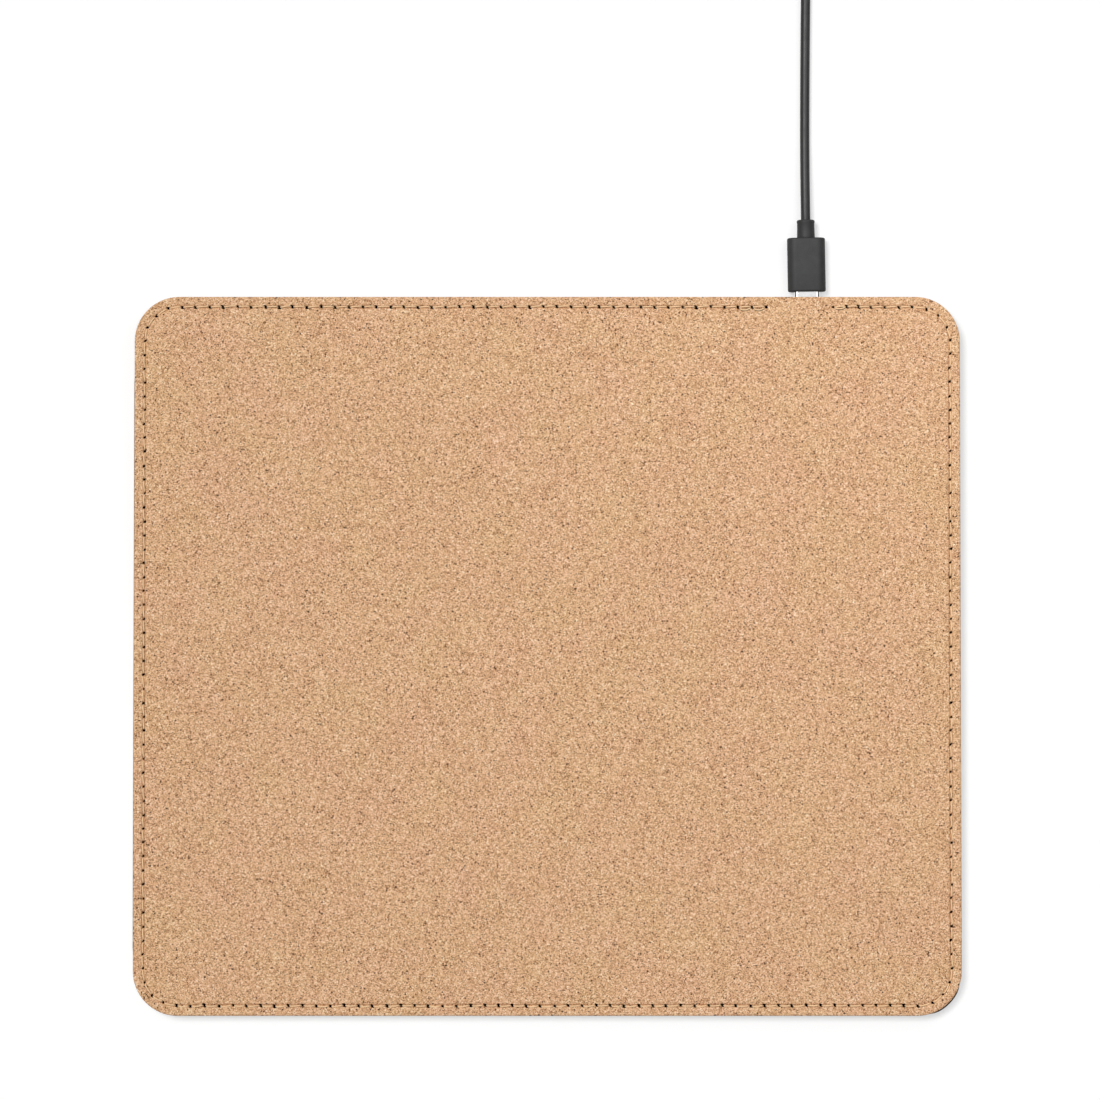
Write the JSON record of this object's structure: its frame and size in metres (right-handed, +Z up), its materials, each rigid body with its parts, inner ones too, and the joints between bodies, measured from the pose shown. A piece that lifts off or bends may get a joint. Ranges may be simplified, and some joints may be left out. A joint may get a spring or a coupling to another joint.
{
  "type": "mouse pad",
  "caption": "Flat rectangular cork-topped mouse pad with rounded corners, a sewn edge, a wireless charger inside and a plug-in black lead at its rear edge.",
  "frame": {"origin": "middle of the pad's underside, on the desk; the lead is not counted", "axes": "+X along the pad's long side, to the user's right; +Y to the rear edge, where the lead plugs in; +Z up out of the cork face"},
  "size_m": [0.26, 0.3832, 0.0079],
  "materials": {
    "cork": "fine agglomerated cork, matt",
    "backing_cloth": "plain woven cotton backing, matt",
    "fibre_board": "pressed fibre board, matt",
    "base_sheet": "dark non-slip sheet with a fine grain, matt",
    "thread": "spun polyester thread, pale beige",
    "module_plastic": "off-white moulded plastic",
    "foam": "soft closed-cell foam",
    "ferrite": "dark sintered ferrite",
    "copper_wire": "lacquered copper strand wire",
    "circuit_board": "green solder mask on glass epoxy",
    "chip_body": "black moulded epoxy",
    "capacitor_body": "fired ceramic with tinned ends",
    "resistor_body": "black film on ceramic",
    "bright_steel": "nickel-plated stamped steel",
    "black_plastic": "black moulded plastic, satin",
    "gilded_contact": "gold-plated contact strip",
    "cord_jacket": "black flexible cord jacket, satin",
    "tie_strap": "black woven hook-and-loop strap"
  },
  "bodies": {
    "pad": {"cork_cover": "cork", "cover_backing": "backing_cloth", "core_board": "fibre_board", "base_cover": "base_sheet", "needle_thread": "thread", "bobbin_thread": "thread", "module_tray": "module_plastic", "module_lid": "module_plastic", "ferrite_shield": "ferrite", "coil_foam_pad": "foam", "charging_coil": "copper_wire", "circuit_board": "circuit_board", "controller_chip": "chip_body", "coil_driver_chip": "chip_body", "power_inductor": "ferrite", "resonant_capacitor_1": "capacitor_body", "resonant_capacitor_2": "capacitor_body", "resonant_capacitor_3": "capacitor_body", "resonant_capacitor_4": "capacitor_body", "input_capacitor_1": "capacitor_body", "input_capacitor_2": "capacitor_body", "sense_resistor": "resistor_body", "socket_shell": "bright_steel", "socket_tongue": "black_plastic", "socket_contact_upper_1": "gilded_contact", "socket_contact_upper_2": "gilded_contact", "socket_contact_upper_3": "gilded_contact", "socket_contact_lower_1": "gilded_contact", "socket_contact_lower_2": "gilded_contact", "socket_contact_lower_3": "gilded_contact"},
    "lead": {"plug_shell": "bright_steel", "plug_insert": "black_plastic", "plug_overmould": "black_plastic", "plug_strain_relief": "black_plastic", "cable": "cord_jacket", "cable_coil": "cord_jacket", "cable_end": "cord_jacket", "cable_tie": "tie_strap", "far_plug_strain_relief": "black_plastic", "far_plug_overmould": "black_plastic", "far_plug_shell": "bright_steel", "far_plug_insert": "black_plastic", "far_plug_contact_1": "gilded_contact", "far_plug_contact_2": "gilded_contact", "far_plug_contact_3": "gilded_contact", "far_plug_contact_4": "gilded_contact"}
  },
  "joints": [
    {"name": "plug_pull", "type": "slide", "parent": "pad", "child": "lead", "axis": [0, 1, 0], "range_m": [0, 0.01]}
  ]
}
